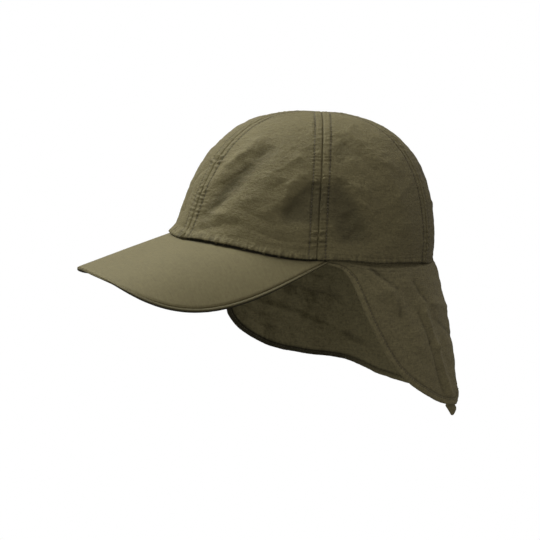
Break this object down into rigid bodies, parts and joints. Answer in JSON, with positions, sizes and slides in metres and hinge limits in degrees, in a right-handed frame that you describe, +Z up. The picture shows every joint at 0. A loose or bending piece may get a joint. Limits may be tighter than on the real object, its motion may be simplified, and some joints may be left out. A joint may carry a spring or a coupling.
{
  "type": "sun cap",
  "caption": "Soft panelled cap with a curved stiff visor and a cloth flap that hangs over the neck and ears.",
  "frame": {"origin": "middle of the head opening, level with the crown's lower edge at the sides", "axes": "+Z up out of the crown's top, -Y the way the wearer looks, +X the wearer's left"},
  "size_m": [0.1841, 0.301, 0.2249],
  "materials": {
    "panel_cloth": "matte olive nylon, fine plain weave, lightly wrinkled",
    "visor_cloth": "matte olive nylon, stretched smooth over the visor",
    "flap_cloth": "matte olive nylon, thin and softly folded"
  },
  "bodies": {
    "root": {"crown_front_left": "panel_cloth", "crown_side_left": "panel_cloth", "crown_back_left": "panel_cloth", "crown_back_right": "panel_cloth", "crown_side_right": "panel_cloth", "crown_front_right": "panel_cloth", "visor": "visor_cloth", "visor_edge": "visor_cloth", "neck_flap": "flap_cloth", "flap_hem": "flap_cloth", "flap_tab": "flap_cloth"}
  },
  "joints": []
}
